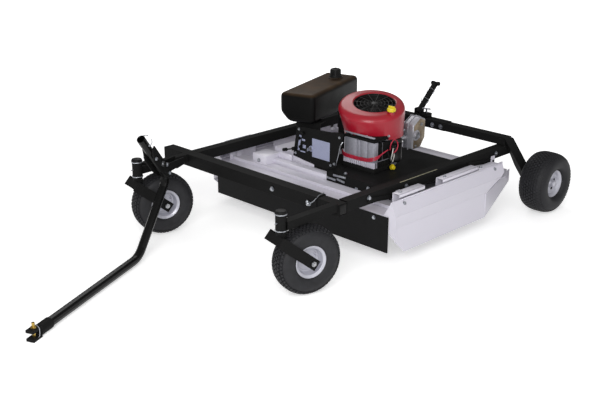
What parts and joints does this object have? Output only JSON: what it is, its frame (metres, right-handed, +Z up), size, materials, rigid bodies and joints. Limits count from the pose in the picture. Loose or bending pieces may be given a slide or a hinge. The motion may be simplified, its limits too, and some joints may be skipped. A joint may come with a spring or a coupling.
{
  "type": "tow-behind brush mower",
  "caption": "Tow-behind brush mower: white rotary cutting deck slung under a black tube frame on casters and rear wheels, with engine, fuel tank, lift lever and bent tow tongue",
  "frame": {"origin": "on the ground, at the middle of the whole outline", "axes": "+X to the machine's right, +Y to its rear (it is towed towards -Y), +Z up"},
  "size_m": [1.9, 3.5142, 0.851],
  "materials": {
    "black_enamel": "gloss enamel",
    "white_enamel": "gloss enamel",
    "red_enamel": "gloss enamel",
    "tyre_rubber": "turf tread",
    "silver_rim": "silver paint",
    "cast_aluminium": "as cast",
    "bright_steel": "bright",
    "yellow_zinc": "yellow zinc plate",
    "black_plastic": "moulded",
    "yellow_plastic": "moulded",
    "belt_rubber": "cord belt"
  },
  "bodies": {
    "frame": {"cross_tube_outer": "black_enamel", "cross_tube_inner": "black_enamel", "side_beam_left": "black_enamel", "side_beam_right": "black_enamel", "caster_arm_left": "black_enamel", "caster_arm_right": "black_enamel", "rear_cross_tube": "black_enamel", "rear_leg_left": "black_enamel", "rear_leg_right": "black_enamel", "tongue_bracket": "black_enamel", "tongue_pivot": "bright_steel"},
    "deck": {"deck_top": "white_enamel", "deck_side_left": "white_enamel", "deck_side_right": "white_enamel", "front_flap": "black_enamel", "deck_channel_front": "white_enamel", "deck_channel_rear": "white_enamel", "engine_platform": "black_enamel", "belt_cover": "white_enamel", "crankcase": "cast_aluminium", "blower_housing": "red_enamel", "starter_motor": "black_plastic", "muffler": "bright_steel", "fuel_tank": "black_plastic", "tank_stand": "black_enamel", "control_panel": "black_enamel", "spindle_housing_left": "cast_aluminium", "spindle_housing_right": "cast_aluminium", "belt_left": "belt_rubber", "belt_right": "belt_rubber"},
    "crank": {"crankshaft": "bright_steel", "blower_screen": "black_plastic"},
    "spindle_left": {"spindle_left": "bright_steel", "blade_left": "bright_steel"},
    "spindle_right": {"spindle_right": "bright_steel", "blade_right": "bright_steel"},
    "tongue": {"tongue_tube": "black_enamel", "hitch_clevis": "black_enamel"},
    "hitch_pin": {"hitch_pin": "yellow_zinc"},
    "lift_lever": {"lift_lever": "black_enamel"},
    "fuel_cap": {"fuel_cap": "black_plastic"},
    "oil_filler_cap": {"oil_filler_cap": "yellow_plastic"},
    "throttle_lever": {"throttle_lever": "black_plastic"},
    "ignition_key": {"ignition_key": "bright_steel"},
    "deck_link_front_left": {"deck_link_front_left": "black_enamel"},
    "deck_link_front_right": {"deck_link_front_right": "black_enamel"},
    "deck_link_rear_left": {"deck_link_rear_left": "black_enamel"},
    "deck_link_rear_right": {"deck_link_rear_right": "black_enamel"},
    "caster_left": {"caster_fork_left": "black_enamel", "caster_axle_left": "bright_steel"},
    "caster_wheel_left": {"caster_left_tyre": "tyre_rubber", "caster_left_rim": "silver_rim"},
    "rear_wheel_left": {"rear_left_tyre": "tyre_rubber", "rear_left_rim": "silver_rim"},
    "caster_right": {"caster_fork_right": "black_enamel", "caster_axle_right": "bright_steel"},
    "caster_wheel_right": {"caster_right_tyre": "tyre_rubber", "caster_right_rim": "silver_rim"},
    "rear_wheel_right": {"rear_right_tyre": "tyre_rubber", "rear_right_rim": "silver_rim"}
  },
  "joints": [
    {"name": "deck_lift", "type": "slide", "parent": "frame", "child": "deck", "axis": [0, 0, 1], "range_m": [0, 0.058]},
    {"name": "deck_link_front_left_hinge", "type": "hinge", "parent": "frame", "child": "deck_link_front_left", "pos_m": [-0.6678, 0.07303, 0.396], "axis": [1, 0, 0], "range_deg": [0, 14.5]},
    {"name": "deck_link_rear_left_hinge", "type": "hinge", "parent": "frame", "child": "deck_link_rear_left", "pos_m": [-0.6678, 0.99303, 0.396], "axis": [1, 0, 0], "range_deg": [0, 14.5]},
    {"name": "deck_link_front_right_hinge", "type": "hinge", "parent": "frame", "child": "deck_link_front_right", "pos_m": [0.6678, 0.07303, 0.396], "axis": [1, 0, 0], "range_deg": [0, 14.5]},
    {"name": "deck_link_rear_right_hinge", "type": "hinge", "parent": "frame", "child": "deck_link_rear_right", "pos_m": [0.6678, 0.99303, 0.396], "axis": [1, 0, 0], "range_deg": [0, 14.5]},
    {"name": "lift_lever_hinge", "type": "hinge", "parent": "frame", "child": "lift_lever", "pos_m": [-0.06, 1.39803, 0.521], "axis": [1, 0, 0], "range_deg": [0, 35.5]},
    {"name": "caster_left_swivel", "type": "hinge", "parent": "frame", "child": "caster_left", "pos_m": [-0.615, -0.55197, 0.384], "axis": [0, 0, 1], "range_deg": [-10, 160]},
    {"name": "caster_left_roll", "type": "hinge", "parent": "caster_left", "child": "caster_wheel_left", "pos_m": [-0.57421, -0.40971, 0.18958], "axis": [0.9613, -0.2756, 0], "continuous": true},
    {"name": "rear_left_roll", "type": "hinge", "parent": "frame", "child": "rear_wheel_left", "pos_m": [-0.855, 1.56303, 0.19406], "axis": [1, 0, 0], "continuous": true},
    {"name": "caster_right_swivel", "type": "hinge", "parent": "frame", "child": "caster_right", "pos_m": [0.615, -0.55197, 0.384], "axis": [0, 0, 1], "continuous": true},
    {"name": "caster_right_roll", "type": "hinge", "parent": "caster_right", "child": "caster_wheel_right", "pos_m": [0.65579, -0.40971, 0.18958], "axis": [0.9613, -0.2756, 0], "continuous": true},
    {"name": "rear_right_roll", "type": "hinge", "parent": "frame", "child": "rear_wheel_right", "pos_m": [0.855, 1.56303, 0.19406], "axis": [1, 0, 0], "continuous": true},
    {"name": "tongue_hinge", "type": "hinge", "parent": "frame", "child": "tongue", "pos_m": [-0.39729, -0.5649, 0.51361], "axis": [-0.9135, -0.4067, 0], "range_deg": [-5, 45]},
    {"name": "hitch_pin_slide", "type": "slide", "parent": "tongue", "child": "hitch_pin", "axis": [0, 0, 1], "range_m": [0, 0.13]},
    {"name": "crank_spin", "type": "hinge", "parent": "deck", "child": "crank", "pos_m": [0.15, 0.69003, 0], "axis": [0, 0, 1], "continuous": true},
    {"name": "spindle_left_spin", "type": "hinge", "parent": "deck", "child": "spindle_left", "pos_m": [-0.35, 0.57803, 0.1], "axis": [0, 0, 1], "continuous": true},
    {"name": "spindle_right_spin", "type": "hinge", "parent": "deck", "child": "spindle_right", "pos_m": [0.35, 0.87803, 0.1], "axis": [0, 0, 1], "continuous": true},
    {"name": "fuel_cap_turn", "type": "hinge", "parent": "deck", "child": "fuel_cap", "pos_m": [-0.36027, 0.88164, 0.785], "axis": [0, 0, 1], "range_deg": [0, 90]},
    {"name": "oil_cap_turn", "type": "hinge", "parent": "deck", "child": "oil_filler_cap", "pos_m": [0.31197, 0.65854, 0], "axis": [0, 0, 1], "range_deg": [0, 90]},
    {"name": "throttle_turn", "type": "hinge", "parent": "deck", "child": "throttle_lever", "pos_m": [-0.245, 0.41143, 0.43], "axis": [0, 1, 0], "range_deg": [-25, 25]},
    {"name": "key_turn", "type": "hinge", "parent": "deck", "child": "ignition_key", "pos_m": [-0.12, 0.41143, 0.45], "axis": [0, 1, 0], "range_deg": [0, 60]}
  ],
  "couplings": [
    {"joint": "deck_link_front_left_hinge", "follows": "deck_lift", "rad_per_m": 4.325},
    {"joint": "deck_link_front_right_hinge", "follows": "deck_lift", "rad_per_m": 4.325},
    {"joint": "deck_link_rear_left_hinge", "follows": "deck_lift", "rad_per_m": 4.325},
    {"joint": "deck_link_rear_right_hinge", "follows": "deck_lift", "rad_per_m": 4.325},
    {"joint": "lift_lever_hinge", "follows": "deck_lift", "rad_per_m": 10.53},
    {"joint": "spindle_left_spin", "follows": "crank_spin", "ratio": 0.8611},
    {"joint": "spindle_right_spin", "follows": "crank_spin", "ratio": 0.8611}
  ]
}
